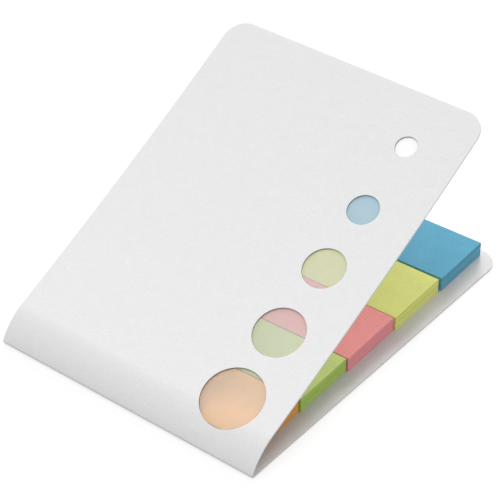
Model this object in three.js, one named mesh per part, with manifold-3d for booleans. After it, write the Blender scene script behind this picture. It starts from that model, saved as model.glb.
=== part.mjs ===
// A folded card of page markers, in millimetres, +Z up.
// One white card is creased near its middle, rolled over a soft spine and left standing half open.
// Five pads of coloured notes are glued side by side on its lower leaf, which rests on z = 0, and a strip
// of translucent film is glued inside the front leaf, behind its round windows.
// The crease runs along X at the -Y end, and the origin lies under the middle of the lower leaf.
import * as THREE from 'three';
import { mergeVertices } from 'three/addons/utils/BufferGeometryUtils.js';
import Module from 'manifold-3d';

const wasm = await Module();
wasm.setup();

// The card
const cardThickness = 0.4;
const cardWidth = 60;
const lowerLeafLength = 80.2; // from the outside of the crease to the free edge
const spineAllowance = 1.7; // how much longer the front leaf is, to reach over the pads
const cornerRadius = 4.5;

// How the front leaf stands, in degrees above the table
const creaseInsideRadius = 0.2;
const spineStartAngle = 61.5;
const spineInsideRadius = 11.6;
const flapStartAngle = 23.6;
const flapEndAngle = 28.7; // the flap lifts a little towards its free edge

// The pads
const padHeight = 3.1;
const padSideMargin = 3.85; // card left showing beside each end of the pads
const padFarMargin = 2.35; // card left showing past the farthest pad
const spineClearance = 0.4; // between the nearest pad's top edge and the inside of the spine
const nearPadLean = 2.25; // how far the nearest pad's lowest sheet reaches past its top one, under the spine

// One row for each pad, from the free edge to the crease. gap is the space on the pad's far side, trim is
// how far its width is off the average, and skew is how it was glued. The front leaf has a round window
// over each pad: its diameter, its centre's distance from the card's right edge, and how far its centre
// is past the pad's own centre, measured along the leaf from the crease.
const pads = [
  {
    name: 'pad_blue', colour: 0x6ab0cc, gap: 0, trim: -0.27, skew: 1.5,
    window: 4.4, fromEdge: 11.5, past: -0.175,
  },
  {
    name: 'pad_yellow', colour: 0xcacd78, gap: 0.4, trim: 0.23, skew: 1.1,
    window: 6.35, fromEdge: 11.5, past: -0.155,
  },
  {
    name: 'pad_pink', colour: 0xd68c88, gap: 0.2, trim: 0.43, skew: 1.2,
    window: 8.5, fromEdge: 11.2, past: 1.36,
  },
  {
    name: 'pad_green', colour: 0xa5b963, gap: 0.2, trim: -0.37, skew: 1.2,
    window: 10.3, fromEdge: 11.1, past: 1.35,
  },
  {
    name: 'pad_orange', colour: 0xd08c56, gap: 0.25, trim: -0.02, skew: 1.2,
    window: 12.4, fromEdge: 11.0, past: 1.05,
  },
];

// The film behind the windows
const filmThickness = 0.15;
const filmGlue = 0.02; // between the film and the inside of the card
const filmBorder = 2.5; // from the film's right edge to the card's
const filmWidth = 18;
const filmOverlap = 2.2; // film past the first and last window, along the leaf

// How finely round shapes are cut
const arcSteps = 10;
const windowSides = 40;
const stripSteps = 40;
const cutterReach = 1; // how far a cutter stands past the card

// Worked out from the sizes above
const radians = THREE.MathUtils.degToRad;
const quarter = Math.PI / 2;
const creaseRadius = creaseInsideRadius + cardThickness;
const spineRadius = spineInsideRadius + cardThickness;
const creaseTurn = radians(180 - spineStartAngle);
const spineTurn = radians(spineStartAngle - flapStartAngle);
const flapTurn = radians(flapEndAngle - flapStartAngle);
const creaseArc = creaseRadius * creaseTurn;
const spineArc = spineRadius * spineTurn;
const frontLeafLength = lowerLeafLength + spineAllowance; // along its outer face, from the crease
const flapLength = frontLeafLength - creaseArc - spineArc;
const flapRadius = flapLength / flapTurn;
const cutterDepth = 2 * (cardThickness + cutterReach); // half of it on each side of a leaf's outer face

// A unit vector across a sheet whose direction is an angle above +Y, on the left of that direction
function leftOf(angle) {
  return new THREE.Vector2(-Math.sin(angle), Math.cos(angle));
}

// Centres of the three arcs, in a plane with Y across and Z up
const creaseCentre = new THREE.Vector2(creaseRadius, creaseRadius);
const spineStart = creaseCentre.clone().addScaledVector(leftOf(radians(spineStartAngle)), creaseRadius);
const spineCentre = spineStart.clone().addScaledVector(leftOf(radians(spineStartAngle)), -spineRadius);
const flapStart = spineCentre.clone().addScaledVector(leftOf(radians(flapStartAngle)), spineRadius);
const flapCentre = flapStart.clone().addScaledVector(leftOf(radians(flapStartAngle)), flapRadius);

// The point of the front leaf at a distance along its outer face, and a height above that face
function onFrontLeaf(distance, height) {
  const alongSpine = distance - creaseArc;
  const alongFlap = alongSpine - spineArc;
  if (alongFlap < 0) {
    const angle = radians(spineStartAngle) - alongSpine / spineRadius;
    return spineCentre.clone().addScaledVector(leftOf(angle), spineRadius + height);
  }
  const angle = radians(flapStartAngle) + alongFlap / flapRadius;
  return flapCentre.clone().addScaledVector(leftOf(angle), height - flapRadius);
}

// A flat shape, X across, Y along the leaf and Z above its outer face, bent to follow the front leaf
function bendOverFrontLeaf(geometry) {
  const position = geometry.attributes.position;
  for (let i = 0; i < position.count; i += 1) {
    const place = onFrontLeaf(position.getY(i), position.getZ(i));
    position.setXYZ(i, position.getX(i), place.x, place.y);
  }
  return geometry;
}

function toSolid(geometry) {
  const bare = geometry.clone();
  bare.deleteAttribute('normal');
  bare.deleteAttribute('uv');
  const welded = mergeVertices(bare, 1e-4);
  const index = welded.index.array;
  const triangles = [];
  for (let i = 0; i < index.length; i += 3) {
    const [a, b, c] = [index[i], index[i + 1], index[i + 2]];
    if (a !== b && b !== c && c !== a) {
      triangles.push(a, b, c);
    }
  }
  return new wasm.Manifold(new wasm.Mesh({
    numProp: 3,
    vertProperties: new Float32Array(welded.attributes.position.array),
    triVerts: new Uint32Array(triangles),
  }));
}

function toGeometry(solid) {
  const mesh = solid.getMesh();
  const geometry = new THREE.BufferGeometry();
  geometry.setAttribute('position', new THREE.BufferAttribute(new Float32Array(mesh.vertProperties), 3));
  geometry.setIndex(new THREE.BufferAttribute(new Uint32Array(mesh.triVerts), 1));
  geometry.computeVertexNormals();
  return geometry;
}

// A side outline, Y across and Z up, drawn out along X to the card's width
function drawAcross(outline) {
  const options = { depth: cardWidth, bevelEnabled: false, curveSegments: arcSteps };
  const sheet = new THREE.ExtrudeGeometry(outline, options);
  sheet.translate(0, 0, -cardWidth / 2);
  const yAxis = new THREE.Vector3(0, 1, 0);
  const zAxis = new THREE.Vector3(0, 0, 1);
  const xAxis = new THREE.Vector3(1, 0, 0);
  return sheet.applyMatrix4(new THREE.Matrix4().makeBasis(yAxis, zAxis, xAxis));
}

// The folded card before its corners and windows are cut
function foldedSheet() {
  const start = radians(spineStartAngle);
  const middle = radians(flapStartAngle);
  const end = radians(flapEndAngle);
  const outline = new THREE.Shape();
  outline.moveTo(lowerLeafLength, 0);
  outline.lineTo(creaseRadius, 0);
  outline.absarc(creaseCentre.x, creaseCentre.y, creaseRadius, -quarter, start + quarter, true);
  outline.absarc(spineCentre.x, spineCentre.y, spineRadius, start + quarter, middle + quarter, true);
  outline.absarc(flapCentre.x, flapCentre.y, flapRadius, middle - quarter, end - quarter, false);
  const flapInsideRadius = flapRadius + cardThickness;
  outline.absarc(flapCentre.x, flapCentre.y, flapInsideRadius, end - quarter, middle - quarter, true);
  outline.absarc(spineCentre.x, spineCentre.y, spineInsideRadius, middle + quarter, start + quarter, false);
  outline.absarc(creaseCentre.x, creaseCentre.y, creaseInsideRadius, start + quarter, 3 * quarter, false);
  outline.lineTo(lowerLeafLength, cardThickness);
  outline.closePath();
  return drawAcross(outline);
}

// A layer as wide and long as the front leaf that lines its inside, from the spine to the free edge
function frontLeafLining() {
  const start = radians(spineStartAngle);
  const middle = radians(flapStartAngle);
  const end = radians(flapEndAngle);
  const glued = cardThickness + filmGlue;
  const bare = glued + filmThickness;
  const outline = new THREE.Shape();
  outline.absarc(spineCentre.x, spineCentre.y, spineRadius - glued, start + quarter, middle + quarter, true);
  outline.absarc(flapCentre.x, flapCentre.y, flapRadius + glued, middle - quarter, end - quarter, false);
  outline.absarc(flapCentre.x, flapCentre.y, flapRadius + bare, end - quarter, middle - quarter, true);
  outline.absarc(spineCentre.x, spineCentre.y, spineRadius - bare, middle + quarter, start + quarter, false);
  outline.closePath();
  return drawAcross(outline);
}

// What is cut off a square corner to round it. side is 1 on the right and -1 on the left.
function cornerCutter(side, leafLength) {
  const innerX = cardWidth / 2 - cornerRadius;
  const outerX = cardWidth / 2 + cutterReach;
  const innerY = leafLength - cornerRadius;
  const outerY = leafLength + cutterReach;
  const outline = new THREE.Shape();
  outline.moveTo(innerX, outerY);
  outline.lineTo(innerX, leafLength);
  outline.absarc(innerX, innerY, cornerRadius, quarter, 0, true);
  outline.lineTo(outerX, innerY);
  outline.lineTo(outerX, outerY);
  outline.closePath();
  const options = { depth: cutterDepth, bevelEnabled: false, curveSegments: arcSteps };
  const cutter = new THREE.ExtrudeGeometry(outline, options);
  cutter.translate(0, 0, -cutterDepth / 2);
  return side < 0 ? cutter.rotateY(Math.PI) : cutter;
}

function windowCutter(pad) {
  const radius = pad.window / 2;
  const cutter = new THREE.CylinderGeometry(radius, radius, cutterDepth, windowSides);
  cutter.rotateX(quarter);
  cutter.translate(cardWidth / 2 - pad.fromEdge, pad.centre + pad.past, 0);
  return bendOverFrontLeaf(cutter);
}

// Where the pads lie: each one's width and the distance of its centre from the crease
function layOutPads() {
  const padLength = cardWidth - 2 * padSideMargin;
  const padTop = cardThickness + padHeight;
  const lastSkew = radians(pads[pads.length - 1].skew);
  const spineAtPadTop = spineCentre.x - Math.sqrt(spineInsideRadius ** 2 - (padTop - spineCentre.y) ** 2);
  const nearEdge = spineAtPadTop + spineClearance + Math.sin(lastSkew) * padLength / 2;
  const farEdge = lowerLeafLength - padFarMargin;
  const gaps = pads.reduce((sum, pad) => sum + pad.gap, 0);
  const averageWidth = (farEdge - nearEdge - gaps) / pads.length;
  let edge = farEdge;
  return pads.map((pad) => {
    const width = averageWidth + pad.trim;
    const centre = edge - pad.gap - width / 2;
    edge = centre - width / 2;
    return { ...pad, length: padLength, width, centre };
  });
}

function matte(colour) {
  return new THREE.MeshStandardMaterial({ color: colour, roughness: 0.85, metalness: 0 });
}

function makeCover(laidPads) {
  let card = toSolid(foldedSheet());
  for (const side of [-1, 1]) {
    const lower = cornerCutter(side, lowerLeafLength);
    const upper = bendOverFrontLeaf(cornerCutter(side, frontLeafLength));
    card = card.subtract(toSolid(lower)).subtract(toSolid(upper));
  }
  for (const pad of laidPads) {
    card = card.subtract(toSolid(windowCutter(pad)));
  }
  const cover = new THREE.Mesh(toGeometry(card), matte(0xebebee));
  cover.name = 'cover';
  return cover;
}

// The lining, cut to a strip that covers every window
function makeFilm(laidPads) {
  const nearPad = laidPads[laidPads.length - 1];
  const farPad = laidPads[0];
  const nearEnd = nearPad.centre + nearPad.past - nearPad.window / 2 - filmOverlap;
  const farEnd = farPad.centre + farPad.past + farPad.window / 2 + filmOverlap;
  const strip = new THREE.BoxGeometry(filmWidth, farEnd - nearEnd, cutterDepth, 1, stripSteps, 1);
  strip.translate(cardWidth / 2 - filmBorder - filmWidth / 2, (nearEnd + farEnd) / 2, 0);
  const solid = toSolid(frontLeafLining()).intersect(toSolid(bendOverFrontLeaf(strip)));
  const clearPlastic = { color: 0xf7f8f9, roughness: 0.5, metalness: 0, transparent: true, opacity: 0.38 };
  const film = new THREE.Mesh(toGeometry(solid), new THREE.MeshStandardMaterial(clearPlastic));
  film.name = 'window_film';
  return film;
}

// A stack of sheets. Only the nearest pad leans, so that its sheets fan out towards the crease.
function makePad(pad) {
  const lean = pad === laidPads[laidPads.length - 1] ? nearPadLean : 0;
  const stack = new THREE.BoxGeometry(pad.length, pad.width, padHeight);
  const position = stack.attributes.position;
  for (let i = 0; i < position.count; i += 1) {
    if (position.getY(i) < 0 && position.getZ(i) < 0) {
      position.setY(i, position.getY(i) - lean);
    }
  }
  stack.computeVertexNormals();
  const mesh = new THREE.Mesh(stack, matte(pad.colour));
  mesh.name = pad.name;
  mesh.position.set(0, pad.centre, cardThickness + padHeight / 2);
  mesh.rotation.z = radians(pad.skew);
  return mesh;
}

const laidPads = layOutPads();
const markers = new THREE.Group();
markers.add(makeCover(laidPads));
markers.add(makeFilm(laidPads));
for (const pad of laidPads) {
  markers.add(makePad(pad));
}
markers.position.y = -lowerLeafLength / 2;

export default markers;
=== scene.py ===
import math
import random

import bmesh
import bpy
from mathutils import Matrix, Vector


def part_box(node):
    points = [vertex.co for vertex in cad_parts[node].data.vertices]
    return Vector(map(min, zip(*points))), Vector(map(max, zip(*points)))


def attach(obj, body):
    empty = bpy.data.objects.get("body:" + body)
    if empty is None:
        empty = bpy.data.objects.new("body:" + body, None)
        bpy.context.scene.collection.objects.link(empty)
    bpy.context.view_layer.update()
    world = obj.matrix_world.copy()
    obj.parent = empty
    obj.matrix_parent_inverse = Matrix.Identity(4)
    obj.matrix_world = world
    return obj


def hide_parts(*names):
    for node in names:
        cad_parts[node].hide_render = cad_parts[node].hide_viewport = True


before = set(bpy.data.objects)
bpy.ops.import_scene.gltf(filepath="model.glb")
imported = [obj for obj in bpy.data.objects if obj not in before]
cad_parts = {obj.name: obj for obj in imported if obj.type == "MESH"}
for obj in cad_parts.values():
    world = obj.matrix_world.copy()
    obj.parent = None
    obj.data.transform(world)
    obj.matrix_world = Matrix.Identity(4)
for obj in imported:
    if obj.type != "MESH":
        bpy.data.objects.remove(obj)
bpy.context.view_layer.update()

mm = 0.001
print("frame loaded:", ", ".join(sorted(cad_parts)))


def onlySelect(piece):
    if bpy.context.mode != "OBJECT":
        bpy.ops.object.mode_set(mode="OBJECT")
    bpy.ops.object.select_all(action="DESELECT")
    piece.select_set(True)
    bpy.context.view_layer.objects.active = piece


def editMode(piece):
    onlySelect(piece)
    bpy.ops.object.mode_set(mode="EDIT")


def objectMode():
    bpy.ops.object.mode_set(mode="OBJECT")


# selects the points that pass a test on their place, with the edges and faces between them
def pickPoints(piece, wanted):
    bpy.ops.mesh.select_all(action="DESELECT")
    mesh = bmesh.from_edit_mesh(piece.data)
    for point in mesh.verts:
        point.select_set(wanted(point.co))
    mesh.select_flush(True)
    bmesh.update_edit_mesh(piece.data)


def finishWith(piece, kind, **settings):
    modifier = piece.modifiers.new(kind.title(), kind)
    for name, value in settings.items():
        setattr(modifier, name, value)
    onlySelect(piece)
    bpy.ops.object.modifier_apply(modifier=modifier.name)


def smoothFaces(piece, degrees):
    onlySelect(piece)
    bpy.ops.object.shade_smooth_by_angle(angle=math.radians(degrees))


# Materials. Noise lies on Object coordinates, so its scale is counted per metre.

mixFactor, mixFirst, mixSecond, mixResult = 0, 6, 7, 2  # sockets of a Mix node that blends colours
paperShine = 0.3  # specular level of card, paper and film


def startMaterial(name, roughness):
    material = bpy.data.materials.new(name)
    material.use_nodes = True
    shader = material.node_tree.nodes["Principled BSDF"]
    shader.inputs["Roughness"].default_value = roughness
    shader.inputs["Specular IOR Level"].default_value = paperShine
    return material, material.node_tree.nodes, material.node_tree.links, shader


def addNoise(nodes, links, grain):
    place = nodes.new("ShaderNodeTexCoord")
    mapping = nodes.new("ShaderNodeMapping")
    mapping.inputs["Scale"].default_value = grain.get("stretch", (1, 1, 1))
    noise = nodes.new("ShaderNodeTexNoise")
    noise.inputs["Scale"].default_value = grain["scale"]
    noise.inputs["Detail"].default_value = grain["detail"]
    links.new(place.outputs["Object"], mapping.inputs["Vector"])
    links.new(mapping.outputs["Vector"], noise.inputs["Vector"])
    return noise.outputs["Fac"]


# blends two colours, each a tuple or another node's output
def addBlend(nodes, links, factor, first, second):
    blend = nodes.new("ShaderNodeMix")
    blend.data_type = "RGBA"
    for socket, value in ((blend.inputs[mixFirst], first), (blend.inputs[mixSecond], second)):
        if isinstance(value, tuple):
            socket.default_value = (*value, 1)
        else:
            links.new(value, socket)
    links.new(factor, blend.inputs[mixFactor])
    return blend.outputs[mixResult]


# takes a value from one span to another, and holds it inside that one
def addRange(nodes, links, value, span, goal=(0, 1)):
    ranged = nodes.new("ShaderNodeMapRange")
    for end, number in zip(("From Min", "From Max", "To Min", "To Max"), (*span, *goal)):
        ranged.inputs[end].default_value = number
    links.new(value, ranged.inputs["Value"])
    return ranged.outputs["Result"]


def addBump(nodes, links, shader, height, relief):
    bump = nodes.new("ShaderNodeBump")
    bump.inputs["Strength"].default_value = relief["strength"]
    bump.inputs["Distance"].default_value = relief["depth"]
    links.new(height, bump.inputs["Height"])
    links.new(bump.outputs["Normal"], shader.inputs["Normal"])


# Pressed card: a faint mottling, and fibres half a millimetre long. The inside is painted greyer than
# the outside, as painted shade for the shade under the front leaf. The cut edges are fluffy and a
# little darker, and the walls of the punched windows are painted much darker, as painted shade inside
# the holes.
cardLook = {
    "outside": {"light": (0.845, 0.845, 0.852), "dark": (0.795, 0.795, 0.805)},
    # painted shade: the inside's grey stands for the shade that falls under the front leaf
    "inside": {"light": (0.63, 0.625, 0.615), "dark": (0.57, 0.565, 0.555)},
    "edge": {"light": (0.8, 0.8, 0.81), "dark": (0.7, 0.7, 0.715)},
    # painted shade: the walls of the punched windows are painted dark for the shade inside the holes
    "rim": {"light": (0.28, 0.275, 0.275), "dark": (0.2, 0.195, 0.195)},
    "roughness": 0.7,
    "mottle": {"scale": 500, "detail": 5},
    "mottleSpan": (0.35, 0.65),
    "mottleGoal": (0, 0.3),
    "fibre": {"stretch": (1, 1.2, 1.2), "scale": 2200, "detail": 3},
    "fibreSpan": (0.4, 0.7),
    "fibreGoal": (0, 0.7),
    "fibreRelief": {"strength": 0.5, "depth": 0.06 * mm},
    "edgeRoughness": 0.9,
    "fluff": {"scale": 5200, "detail": 4},
    "fluffSpan": (0.35, 0.65),
    "fluffRelief": {"strength": 0.4, "depth": 0.03 * mm},
}


def makeCardFace(name, tones):
    material, nodes, links, shader = startMaterial(name, cardLook["roughness"])
    mottle = addNoise(nodes, links, cardLook["mottle"])
    mottled = addRange(nodes, links, mottle, cardLook["mottleSpan"], cardLook["mottleGoal"])
    fibre = addNoise(nodes, links, cardLook["fibre"])
    fibrous = addRange(nodes, links, fibre, cardLook["fibreSpan"], cardLook["fibreGoal"])
    tone = addBlend(nodes, links, mottled, tones["light"], tones["dark"])
    tone = addBlend(nodes, links, fibrous, tone, tones["dark"])
    links.new(tone, shader.inputs["Base Color"])
    addBump(nodes, links, shader, fibre, cardLook["fibreRelief"])
    return material


def makeCardEdge(name, tones):
    material, nodes, links, shader = startMaterial(name, cardLook["edgeRoughness"])
    fluff = addNoise(nodes, links, cardLook["fluff"])
    fluffy = addRange(nodes, links, fluff, cardLook["fluffSpan"])
    tone = addBlend(nodes, links, fluffy, tones["light"], tones["dark"])
    links.new(tone, shader.inputs["Base Color"])
    addBump(nodes, links, shader, fluff, cardLook["fluffRelief"])
    return material


# Note paper: clouds and fibres on top, and a side with a line for every sheet. Faint, fleck and deep
# are the parts of the paper's own colour that its clouds, fibres and lines keep.
paperLook = {
    "roughness": 0.85,
    "cloud": {"scale": 240, "detail": 3},
    "cloudSpan": (0.3, 0.7),
    "faint": 0.92,
    "fibre": {"stretch": (1, 1.4, 1), "scale": 3200, "detail": 4},
    "fibreSpan": (0.5, 0.72),
    "fibreGoal": (0, 0.9),
    "fibreRelief": {"strength": 0.4, "depth": 0.04 * mm},
    "fleck": 0.8,
    "line": {"stretch": (30, 30, 9000), "scale": 1, "detail": 2},
    "lineSpan": (0.35, 0.65),
    "deep": 0.84,
    "upward": (0.3, 0.55),  # how far up a face looks where the side turns into the top
}


def shade(colour, part):
    return tuple(channel * part for channel in colour)


def makeNotePaper(pad):
    material, nodes, links, shader = startMaterial(pad["look"], paperLook["roughness"])
    fibre = addNoise(nodes, links, paperLook["fibre"])
    cloud = addNoise(nodes, links, paperLook["cloud"])
    cloudy = addRange(nodes, links, cloud, paperLook["cloudSpan"])
    flecked = addRange(nodes, links, fibre, paperLook["fibreSpan"], paperLook["fibreGoal"])
    top = addBlend(nodes, links, cloudy, pad["top"], shade(pad["top"], paperLook["faint"]))
    top = addBlend(nodes, links, flecked, top, shade(pad["top"], paperLook["fleck"]))
    line = addNoise(nodes, links, paperLook["line"])
    lined = addRange(nodes, links, line, paperLook["lineSpan"])
    side = addBlend(nodes, links, lined, pad["side"], shade(pad["side"], paperLook["deep"]))
    facing = nodes.new("ShaderNodeTexCoord")
    split = nodes.new("ShaderNodeSeparateXYZ")
    links.new(facing.outputs["Normal"], split.inputs["Vector"])
    upward = addRange(nodes, links, split.outputs["Z"], paperLook["upward"])
    links.new(addBlend(nodes, links, upward, side, top), shader.inputs["Base Color"])
    addBump(nodes, links, shader, fibre, paperLook["fibreRelief"])
    return material


# The pads, from the free edge to the crease. Skew is how far a pad was turned when it was glued, in
# degrees, and lean is how far its lowest sheet reaches past its top one, towards the crease. Each pad
# has a round window over it in the front leaf: its diameter, its centre's distance from the card's
# right edge, and how far it is past the pad's middle.
pads = [
    {"node": "pad_blue", "look": "bluePaper", "slot": "blue_paper",
     "skew": 1.5, "lean": 0, "window": 4.4 * mm, "fromEdge": 11.5 * mm, "past": -0.175 * mm,
     "top": (0.095, 0.34, 0.49), "side": (0.16, 0.44, 0.60)},
    {"node": "pad_yellow", "look": "yellowPaper", "slot": "yellow_paper",
     "skew": 1.1, "lean": 0, "window": 6.35 * mm, "fromEdge": 11.5 * mm, "past": -0.155 * mm,
     "top": (0.63, 0.66, 0.19), "side": (0.88, 0.92, 0.27)},
    {"node": "pad_pink", "look": "pinkPaper", "slot": "pink_paper",
     "skew": 1.2, "lean": 0, "window": 8.5 * mm, "fromEdge": 11.2 * mm, "past": 1.36 * mm,
     "top": (0.79, 0.285, 0.275), "side": (0.96, 0.37, 0.41)},
    {"node": "pad_green", "look": "greenPaper", "slot": "green_paper",
     "skew": 1.2, "lean": 0, "window": 10.3 * mm, "fromEdge": 11.1 * mm, "past": 1.35 * mm,
     "top": (0.51, 0.63, 0.20), "side": (0.45, 0.66, 0.13)},
    {"node": "pad_orange", "look": "orangePaper", "slot": "orange_paper",
     "skew": 1.2, "lean": 2.25 * mm, "window": 12.4 * mm, "fromEdge": 11.0 * mm, "past": 1.05 * mm,
     "top": (0.95, 0.48, 0.07), "side": (0.85, 0.40, 0.10)},
]

padBuild = {
    "sheets": 28,
    "groove": 0.02 * mm,  # how far the line between two sheets is drawn in
    "stray": 0.02 * mm,  # how far a sheet lies off the stack
    "topEdge": 0.05 * mm,
    "topEdgeSteps": 2,
    "cutWithin": 0.001 * mm,  # half a sheet is thinner than the cut's usual tolerance
    "smooth": 20,
    "seed": 11,
}


# the middle and size of the pad before it was turned, from the box round its CAD solid
def padSize(pad):
    low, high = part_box(pad["node"])
    turn = math.radians(pad["skew"])
    spanX, spanY = high.x - low.x, high.y - low.y
    length = (spanX * math.cos(turn) - spanY * math.sin(turn)) / math.cos(2 * turn)
    width = (spanY * math.cos(turn) - spanX * math.sin(turn)) / math.cos(2 * turn)
    return (low + high) / 2, Vector((length, width, high.z - low.z))


def makePad(pad, strays):
    middle, size = padSize(pad)
    bpy.ops.object.select_all(action="DESELECT")
    bpy.ops.mesh.primitive_cube_add(size=1)
    piece = bpy.context.object
    piece.name = pad["node"].replace("pad_", "pad-") + "-notes"
    piece.scale = size
    bpy.ops.object.transform_apply(location=False, rotation=False, scale=True)
    editMode(piece)
    # the block is as wide as the lowest sheet, and the top one's near edge draws back
    pickPoints(piece, lambda place: place.y < 0 and place.z > 0)
    bpy.ops.transform.translate(value=(0, pad["lean"], 0))

    # two cuts for each sheet: its outermost line, and the groove between it and the next one
    step = size.z / padBuild["sheets"] / 2
    levels = [index * step - size.z / 2 for index in range(1, padBuild["sheets"] * 2)]
    for level in levels:
        bpy.ops.mesh.select_all(action="SELECT")
        bpy.ops.mesh.bisect(plane_co=(0, 0, level), plane_no=(0, 0, 1), threshold=padBuild["cutWithin"])
    drawnIn = Vector((1 - 2 * padBuild["groove"] / size.x, 1 - 2 * padBuild["groove"] / size.y, 1))
    for index, level in enumerate(levels):
        pickPoints(piece, lambda place: abs(place.z - level) < step / 4)
        if index % 2:
            bpy.ops.transform.resize(value=drawnIn)
        else:
            shift = [strays.uniform(-padBuild["stray"], padBuild["stray"]) for axis in range(2)]
            bpy.ops.transform.translate(value=(*shift, 0))

    pickPoints(piece, lambda place: place.z > size.z / 2 - step / 4)
    bpy.ops.mesh.bevel(offset=padBuild["topEdge"], segments=padBuild["topEdgeSteps"], affect="EDGES")
    objectMode()
    piece.rotation_euler = (0, 0, math.radians(pad["skew"]))
    piece.location = middle
    bpy.ops.object.transform_apply(location=True, rotation=True, scale=True)
    piece.data.materials.clear()
    piece.data.materials.append(makeNotePaper(pad))
    smoothFaces(piece, padBuild["smooth"])
    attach(piece, "root")
    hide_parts(pad["node"])
    return piece


# The card: the lower leaf is drawn flat and then spun round three centres, for the crease, the spine
# and the bend of the front leaf. Angles are degrees above the table. The lower leaf is measured from
# the outside of the crease, and the front one along its outer face.
card = {
    "thickness": 0.4 * mm,
    "width": 60 * mm,
    "lowerLeaf": 80.2 * mm,
    "frontLonger": 1.7 * mm,
    "corner": 4.5 * mm,
    "creaseRadius": 0.6 * mm,
    "spineRadius": 12 * mm,
    "spineAngle": 61.5,
    "frontAngle": 23.6,
    "edgeAngle": 28.7,
    "creaseSteps": 14,
    "spineSteps": 16,
    "frontSteps": 10,
    "cornerSteps": 10,
    "mergeWithin": 0.001 * mm,
    "cornerWithin": 0.05 * mm,  # how near a point lies to a free edge's line to have its corner rounded
    "punchSides": 96,
    "punchDepth": 6 * mm,
    "softEdge": 0.09 * mm,
    "softSteps": 2,
    "softOver": 50,  # the least turn of an edge that is softened, in degrees
    "smooth": 35,
}

spineTurn = math.radians(card["spineAngle"])
frontTurn = math.radians(card["frontAngle"])
edgeTurn = math.radians(card["edgeAngle"])
creaseArc = card["creaseRadius"] * (math.pi - spineTurn)
spineArc = card["spineRadius"] * (spineTurn - frontTurn)
frontLength = card["lowerLeaf"] + card["frontLonger"]
bendRadius = (frontLength - creaseArc - spineArc) / (edgeTurn - frontTurn)


# a unit vector across the leaf, on its outer side
def outward(angle):
    return Vector((0, -math.sin(angle), math.cos(angle)))


creaseCentre = Vector((0, card["creaseRadius"] - card["lowerLeaf"] / 2, card["creaseRadius"]))
spineCentre = creaseCentre + outward(spineTurn) * (card["creaseRadius"] - card["spineRadius"])
bendCentre = spineCentre + outward(frontTurn) * (card["spineRadius"] + bendRadius)


# a point of the front leaf's outer face, at a distance from the crease, and the leaf's angle there
def onFrontLeaf(distance):
    alongFront = distance - creaseArc - spineArc
    if alongFront < 0:
        angle = spineTurn - (distance - creaseArc) / card["spineRadius"]
        return spineCentre + outward(angle) * card["spineRadius"], angle
    angle = frontTurn + alongFront / bendRadius
    return bendCentre - outward(angle) * bendRadius, angle


def drawFoldedSheet():
    farEnd = card["lowerLeaf"] / 2
    tip = onFrontLeaf(frontLength)[0]
    bpy.ops.object.select_all(action="DESELECT")
    bpy.ops.mesh.primitive_plane_add(size=1, location=(0, (creaseCentre.y + farEnd) / 2, 0))
    cover = bpy.context.object
    cover.name = "foldedCard"
    cover.scale = (card["width"], farEnd - creaseCentre.y, 1)
    bpy.ops.object.transform_apply(location=True, rotation=True, scale=True)
    editMode(cover)
    pickPoints(cover, lambda place: place.y < creaseCentre.y + card["thickness"])
    for centre, turn, steps in (
        (creaseCentre, math.pi - spineTurn, card["creaseSteps"]),
        (spineCentre, spineTurn - frontTurn, card["spineSteps"]),
        (bendCentre, frontTurn - edgeTurn, card["frontSteps"]),
    ):
        bpy.ops.mesh.spin(steps=steps, angle=turn, center=centre, axis=(1, 0, 0))
    bpy.ops.mesh.select_all(action="SELECT")
    bpy.ops.mesh.remove_doubles(threshold=card["mergeWithin"])
    bpy.ops.mesh.flip_normals()  # the spin leaves them pointing inwards

    def atCorner(place):
        fromLowerEdge = abs(place.y - farEnd) + abs(place.z)
        fromFrontEdge = (place.yz - tip.yz).length
        return min(fromLowerEdge, fromFrontEdge) < card["cornerWithin"]

    pickPoints(cover, atCorner)
    bpy.ops.mesh.bevel(offset=card["corner"], segments=card["cornerSteps"], affect="VERTICES")
    objectMode()
    return cover


def punchWindow(cover, pad, rim):
    topMiddle = padSize(pad)[0].y + pad["lean"] / 2
    place, angle = onFrontLeaf(topMiddle + card["lowerLeaf"] / 2 + pad["past"])
    place.x = card["width"] / 2 - pad["fromEdge"]
    bpy.ops.object.select_all(action="DESELECT")
    bpy.ops.mesh.primitive_cylinder_add(
        vertices=card["punchSides"], radius=pad["window"] / 2, depth=card["punchDepth"],
        location=place, rotation=(angle, 0, 0))
    punch = bpy.context.object
    # the punched walls take the rim colour, which is painted shade
    punch.data.materials.append(rim)
    finishWith(cover, "BOOLEAN", object=punch, operation="DIFFERENCE", solver="EXACT",
               material_mode="TRANSFER")
    bpy.data.objects.remove(punch)


def makeCover(outside, edge, inside, rim):
    cover = drawFoldedSheet()
    for finish in (outside, edge, inside):
        cover.data.materials.append(finish)
    finishWith(cover, "SOLIDIFY", thickness=card["thickness"], offset=-1, use_even_offset=True,
               material_offset=2, material_offset_rim=1)
    for pad in pads:
        punchWindow(cover, pad, rim)
    finishWith(cover, "BEVEL", width=card["softEdge"], segments=card["softSteps"], limit_method="ANGLE",
               angle_limit=math.radians(card["softOver"]), use_clamp_overlap=False)
    smoothFaces(cover, card["smooth"])
    # so that the soft edges leave the broad faces evenly lit
    finishWith(cover, "WEIGHTED_NORMAL", keep_sharp=True)
    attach(cover, "root")
    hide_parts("cover")
    return cover


# The film: a merged copy of the CAD strip, smoothed over the spine. It lets most light through and
# adds a little of its own white, half at each face.
film = {
    "node": "window_film",
    "mergeWithin": 0.0005 * mm,
    "smooth": 25,
    "white": (0.95, 0.955, 0.96),
    "alpha": (0.222, 0.252),
    "roughness": 0.6,
    "frost": {"scale": 700, "detail": 4},
    "frostSpan": (0.3, 0.7),
    "frostRelief": {"strength": 0.15, "depth": 0.02 * mm},
}


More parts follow.
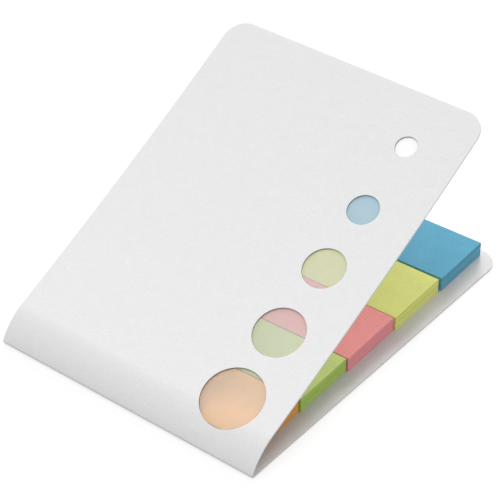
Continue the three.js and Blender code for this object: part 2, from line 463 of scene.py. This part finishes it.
def makeFilmLook():
    material, nodes, links, shader = startMaterial("frostedFilm", film["roughness"])
    shader.inputs["Base Color"].default_value = (*film["white"], 1)
    frost = addNoise(nodes, links, film["frost"])
    links.new(addRange(nodes, links, frost, film["frostSpan"], film["alpha"]), shader.inputs["Alpha"])
    addBump(nodes, links, shader, frost, film["frostRelief"])
    return material


def makeFilm(look):
    strip = bpy.data.objects.new("windowFilm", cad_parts[film["node"]].data.copy())
    bpy.context.scene.collection.objects.link(strip)
    editMode(strip)
    bpy.ops.mesh.select_all(action="SELECT")
    bpy.ops.mesh.remove_doubles(threshold=film["mergeWithin"])
    objectMode()
    strip.data.materials.clear()
    strip.data.materials.append(look)
    smoothFaces(strip, film["smooth"])
    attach(strip, "root")
    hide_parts(film["node"])
    return strip


strays = random.Random(padBuild["seed"])
for pad in pads:
    made = makePad(pad, strays)
    print(made.name, "has", len(made.data.polygons), "faces")

cover = makeCover(
    makeCardFace("cardOutside", cardLook["outside"]),
    makeCardEdge("cardEdge", cardLook["edge"]),
    # the inside's colour holds painted shade
    makeCardFace("cardInsidePaintedShade", cardLook["inside"]),
    # the window walls' colour is painted shade
    makeCardEdge("windowRimPaintedShade", cardLook["rim"]),
)
print(cover.name, "has", len(cover.data.polygons), "faces")

strip = makeFilm(makeFilmLook())
print(strip.name, "has", len(strip.data.polygons), "faces")


# The room: a pale floor, a white surround, a large lamp overhead and a low one that shines in under
# the front leaf from behind. The camera sees a lighter floor than the one that lights the object.
room = {
    "floorSize": 4.0,
    "floorDrop": 0.05 * mm,
    "floorPale": 0.5,
    "floorSeen": 0.3,
    "floorLift": 0.7,
    "around": 0.63,
    "lamps": [
        {"name": "overhead", "power": 1.1, "softness": 60, "from": (-0.1, 0.05, 1.0)},
        {"name": "low", "power": 2.9, "softness": 25, "from": (-0.48, 0.78, 0.39)},
    ],
}


# one for the camera, a mirror or glass, and none for the light that reaches the object
def seenDirectly(nodes, links):
    path = nodes.new("ShaderNodeLightPath")
    total = path.outputs["Is Camera Ray"]
    for name in ("Is Glossy Ray", "Is Transmission Ray"):
        add = nodes.new("ShaderNodeMath")
        add.operation = "ADD"
        add.use_clamp = True
        links.new(total, add.inputs[0])
        links.new(path.outputs[name], add.inputs[1])
        total = add.outputs[0]
    return total


def makeFloor():
    bpy.ops.object.select_all(action="DESELECT")
    bpy.ops.mesh.primitive_plane_add(size=room["floorSize"], location=(0, 0, -room["floorDrop"]))
    floor = bpy.context.object
    floor.name = "floor"
    material = bpy.data.materials.new("paleFloor")
    material.use_nodes = True
    nodes, links = material.node_tree.nodes, material.node_tree.links
    nodes.remove(nodes["Principled BSDF"])
    seen = seenDirectly(nodes, links)
    matte = nodes.new("ShaderNodeBsdfDiffuse")
    pale, seenGrey = (room["floorPale"],) * 3, (room["floorSeen"],) * 3
    links.new(addBlend(nodes, links, seen, pale, seenGrey), matte.inputs["Color"])
    glow = nodes.new("ShaderNodeEmission")
    links.new(addRange(nodes, links, seen, (0, 1), (0, room["floorLift"])), glow.inputs["Strength"])
    both = nodes.new("ShaderNodeAddShader")
    links.new(matte.outputs[0], both.inputs[0])
    links.new(glow.outputs[0], both.inputs[1])
    links.new(both.outputs[0], nodes["Material Output"].inputs["Surface"])
    floor.data.materials.append(material)


def makeLight():
    world = bpy.data.worlds.new("surround")
    bpy.context.scene.world = world
    world.use_nodes = True
    nodes, links = world.node_tree.nodes, world.node_tree.links
    background = nodes["Background"]
    background.inputs["Color"].default_value = (1, 1, 1, 1)
    seen = seenDirectly(nodes, links)
    strength = addRange(nodes, links, seen, (0, 1), (room["around"], 1))
    links.new(strength, background.inputs["Strength"])
    for setting in room["lamps"]:
        data = bpy.data.lights.new(setting["name"], "SUN")
        data.energy = setting["power"]
        data.angle = math.radians(setting["softness"])
        lamp = bpy.data.objects.new(setting["name"], data)
        lamp.rotation_mode = "QUATERNION"
        lamp.rotation_quaternion = Vector(setting["from"]).to_track_quat("Z", "Y")
        bpy.context.scene.collection.objects.link(lamp)


# Lengths are metres, angles degrees, and azimuth 0 looks along +Y
camera = {
    "place": (0.1938, -0.2477, 0.2506),
    "azimuth": 38.74,
    "elevation": 37.16,
    "roll": -0.31,
    "lens": 149.13,
    "sensor": 36,
    "shiftX": 0.023,
    "shiftY": 0.0017,
    "nearest": 0.01,
    "farthest": 20,
}


def makeCamera():
    data = bpy.data.cameras.new("camera")
    data.lens = camera["lens"]
    data.sensor_width = camera["sensor"]
    data.shift_x = camera["shiftX"]
    data.shift_y = camera["shiftY"]
    data.clip_start = camera["nearest"]
    data.clip_end = camera["farthest"]
    eye = bpy.data.objects.new("camera", data)
    around, above, roll = (math.radians(camera[name]) for name in ("azimuth", "elevation", "roll"))
    level = math.cos(above)
    back = Vector((math.sin(around) * level, -math.cos(around) * level, math.sin(above)))
    right = Vector((math.cos(around), math.sin(around), 0))
    up = back.cross(right)
    rolledRight = right * math.cos(roll) + up * math.sin(roll)
    rolledUp = up * math.cos(roll) - right * math.sin(roll)
    turned = Matrix((rolledRight, rolledUp, back)).transposed()
    eye.matrix_world = Matrix.Translation(camera["place"]) @ turned.to_4x4()
    bpy.context.scene.collection.objects.link(eye)
    bpy.context.scene.camera = eye


makeFloor()
makeLight()
makeCamera()
bpy.context.scene.view_settings.view_transform = "Standard"
print("room, light and camera are in place")
